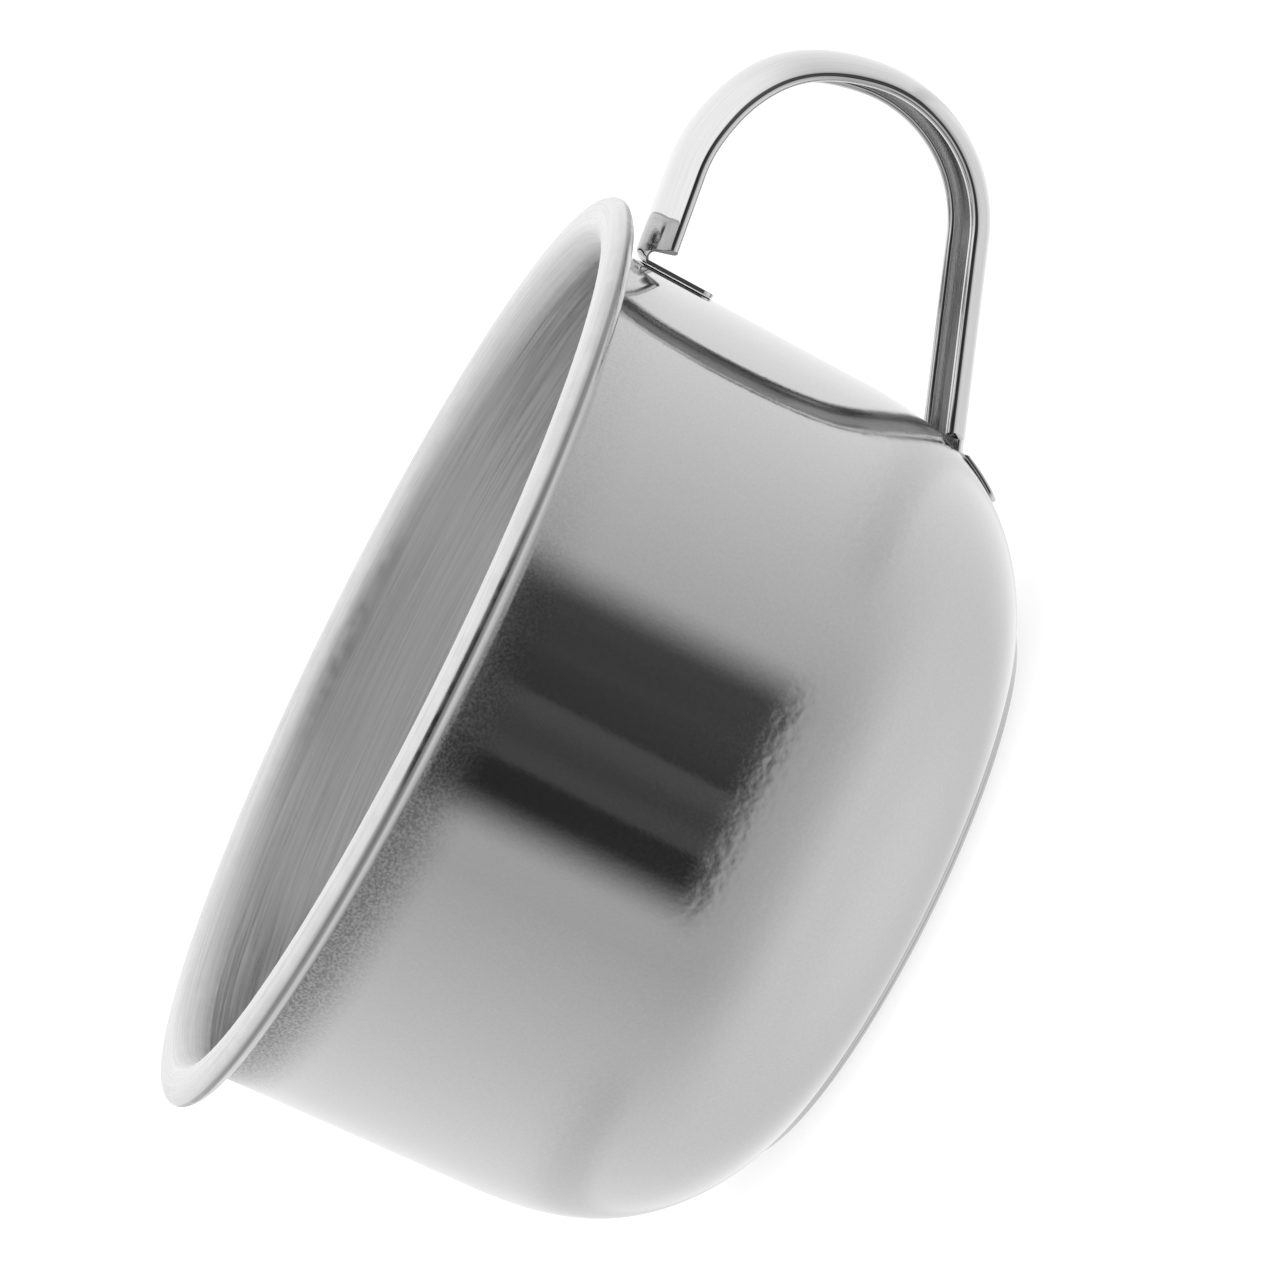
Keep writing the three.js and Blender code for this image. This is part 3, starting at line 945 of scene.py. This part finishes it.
def floor(setup):
    """A round pale floor that reflections don't show."""
    mesh = bmesh.new()
    bmesh.ops.create_circle(mesh, cap_ends=True, segments=FLOOR_SEGMENTS, radius=setup.floor_radius)
    data = bpy.data.meshes.new("floor")
    mesh.to_mesh(data)
    mesh.free()
    piece = bpy.data.objects.new("floor", data)
    bpy.context.scene.collection.objects.link(piece)
    piece.location.z = CAD_LOW.z - FLOOR_GAP
    piece.visible_glossy = False
    material = bpy.data.materials.new("floor_paint")
    material.use_nodes = True
    shader = material.node_tree.nodes["Principled BSDF"]
    shader.inputs["Base Color"].default_value = (*setup.floor_colour, 1.0)
    shader.inputs["Roughness"].default_value = 1.0
    shader.inputs["Specular IOR Level"].default_value = 0.0
    shader.inputs["Emission Color"].default_value = (1.0, 1.0, 1.0, 1.0)
    shader.inputs["Emission Strength"].default_value = setup.floor_glow
    data.materials.append(material)


def camera(setup):
    """The camera, rolled so that the mug lies over on its side in its view."""
    data = bpy.data.cameras.new("camera")
    data.lens = setup.lens
    data.clip_start = 0.01
    data.clip_end = 50.0
    piece = bpy.data.objects.new("camera", data)
    bpy.context.scene.collection.objects.link(piece)
    level = math.cos(setup.camera_rise)
    away = Vector((
        math.sin(setup.camera_turn) * level,
        -math.cos(setup.camera_turn) * level,
        math.sin(setup.camera_rise),
    ))
    piece.location = Vector((0, 0, setup.orbit_height)) + away * setup.camera_distance
    aim = Vector((setup.aim_x, 0, setup.aim_z)) - piece.location
    upright = aim.to_track_quat("-Z", "Y").to_matrix()
    roll = Matrix.Rotation(-setup.camera_roll, 3, "Z")
    piece.rotation_euler = (upright @ roll).to_euler()
    bpy.context.scene.camera = piece


# ---- Operators --------------------------------------------------------------------------------

class MUG_OT_bowl(bpy.types.Operator):
    """Makes the bowl with its rolled lip"""

    bl_idname = "mug.make_bowl"
    bl_label = "Bowl"

    def execute(self, context):
        size = context.scene.mug_bowl
        finish = context.scene.mug_finish
        materials = [outside_steel(size, finish), inside_steel(finish), lip_steel(size, finish)]
        mesh = turned(bowl_profile(size), size.segments)
        finished("steel_bowl", mesh, materials, "bowl")
        return {"FINISHED"}


class MUG_OT_finger_loop(bpy.types.Operator):
    """Makes the finger loop with its rolled edges and its two tabs"""

    bl_idname = "mug.make_finger_loop"
    bl_label = "Finger Loop"

    def execute(self, context):
        mesh = strap_mesh(context.scene.mug_bowl, context.scene.mug_loop)
        finish = context.scene.mug_finish
        materials = [loop_steel(finish), under_steel_painted_shade(finish)]
        finished("steel_finger_loop", mesh, materials, "finger_loop")
        return {"FINISHED"}


class MUG_OT_stage(bpy.types.Operator):
    """Makes the floor, the light and the camera"""

    bl_idname = "mug.make_stage"
    bl_label = "Stage"

    def execute(self, context):
        setup = context.scene.mug_stage
        floor(setup)
        studio_light()
        camera(setup)
        context.scene.view_settings.view_transform = "Standard"
        return {"FINISHED"}


class MUG_PT_panel(bpy.types.Panel):
    """Lists the mug's sizes, finishes and operators"""

    bl_idname = "MUG_PT_panel"
    bl_label = "Shaving Mug"
    bl_space_type = "VIEW_3D"
    bl_region_type = "UI"
    bl_category = "Shaving Mug"

    def draw(self, context):
        scene = context.scene
        for title, group in (
            ("Bowl", scene.mug_bowl), ("Finger Loop", scene.mug_loop),
            ("Finish", scene.mug_finish), ("Stage", scene.mug_stage),
        ):
            box = self.layout.box()
            box.label(text=title)
            for name in group.__annotations__:
                box.prop(group, name)
        for operator in OPERATORS:
            self.layout.operator(operator.bl_idname)


OPERATORS = (MUG_OT_bowl, MUG_OT_finger_loop, MUG_OT_stage)
GROUPS = {
    "mug_bowl": BowlSizes,
    "mug_loop": LoopSizes,
    "mug_finish": SteelFinish,
    "mug_stage": StageSetup,
}


def register():
    for cls in (*GROUPS.values(), *OPERATORS, MUG_PT_panel):
        bpy.utils.register_class(cls)
    for name, group in GROUPS.items():
        setattr(bpy.types.Scene, name, PointerProperty(type=group))


def unregister():
    for name in GROUPS:
        delattr(bpy.types.Scene, name)
    for cls in (MUG_PT_panel, *OPERATORS, *GROUPS.values()):
        bpy.utils.unregister_class(cls)


def main():
    register()
    bpy.ops.mug.make_bowl()
    bpy.ops.mug.make_finger_loop()
    bpy.ops.mug.make_stage()
    bpy.context.view_layer.update()


if __name__ == "__main__":
    main()
